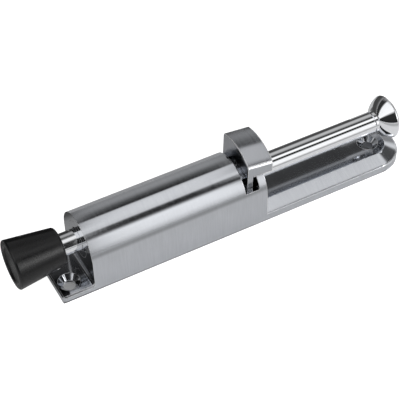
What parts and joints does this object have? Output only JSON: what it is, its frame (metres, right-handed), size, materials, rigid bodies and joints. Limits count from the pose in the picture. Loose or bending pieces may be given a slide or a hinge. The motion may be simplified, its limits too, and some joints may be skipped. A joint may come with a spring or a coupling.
{
  "type": "step-on door holder",
  "caption": "Step-on door holder with an arched housing, a sprung rod with a step head and a rubber foot, and a pedal that unlocks the rod.",
  "frame": {"origin": "on the mounting face, in the middle of its width, under the lower end of the barrel", "axes": "+X along the rod towards the step head, +Z out of the door face through the housing, +Y to the far flank"},
  "size_m": [0.2269, 0.035, 0.0439],
  "materials": {
    "satin_housing": "satin, brushed along its length",
    "satin_pedal": "satin, fine cast grain",
    "mirror_chrome": "mirror polished",
    "black_rubber": "smooth moulded",
    "black_plastic": "moulded",
    "bearing_bronze": "sintered, oiled",
    "plain_steel": "turned, zinc plated",
    "hard_steel": "hardened, dark",
    "spring_steel": "drawn wire"
  },
  "bodies": {
    "base": {"housing": "satin_housing", "end_cover": "satin_housing", "lower_bush": "black_plastic", "bush_circlip": "hard_steel", "bulkhead_bush": "bearing_bronze", "seat_washer": "plain_steel", "buffer_ring": "black_rubber", "pedal_pin": "plain_steel", "return_spring": "spring_steel", "pedal_springs": "spring_steel"},
    "spring_carrier": {"spring_collar": "plain_steel"},
    "plunger": {"plunger_rod": "mirror_chrome", "step_head": "mirror_chrome", "head_stud": "plain_steel", "rubber_foot": "black_rubber", "foot_plug": "black_rubber", "foot_washer": "plain_steel", "foot_screw": "plain_steel", "collar_circlip": "hard_steel"},
    "pedal": {"release_pedal": "satin_pedal", "locking_plate": "hard_steel", "plate_rivets": "plain_steel"}
  },
  "joints": [
    {"name": "plunger_slide", "type": "slide", "parent": "base", "child": "spring_carrier", "axis": [1, 0, 0], "range_m": [-0.06, 0], "stiffness_N_per_m": 220, "springref_m": 0.02, "deforming": ["return_spring"]},
    {"name": "plunger_spin", "type": "hinge", "parent": "spring_carrier", "child": "plunger", "pos_m": [0, 0, 0.02215], "axis": [1, 0, 0], "continuous": true},
    {"name": "pedal_tilt", "type": "hinge", "parent": "base", "child": "pedal", "pos_m": [0.0921, 0, 0.0075], "axis": [0, 1, 0], "range_deg": [-3.5, 0], "stiffness_Nm_per_rad": 1.5, "springref_deg": 2.29, "deforming": ["pedal_springs"]}
  ]
}
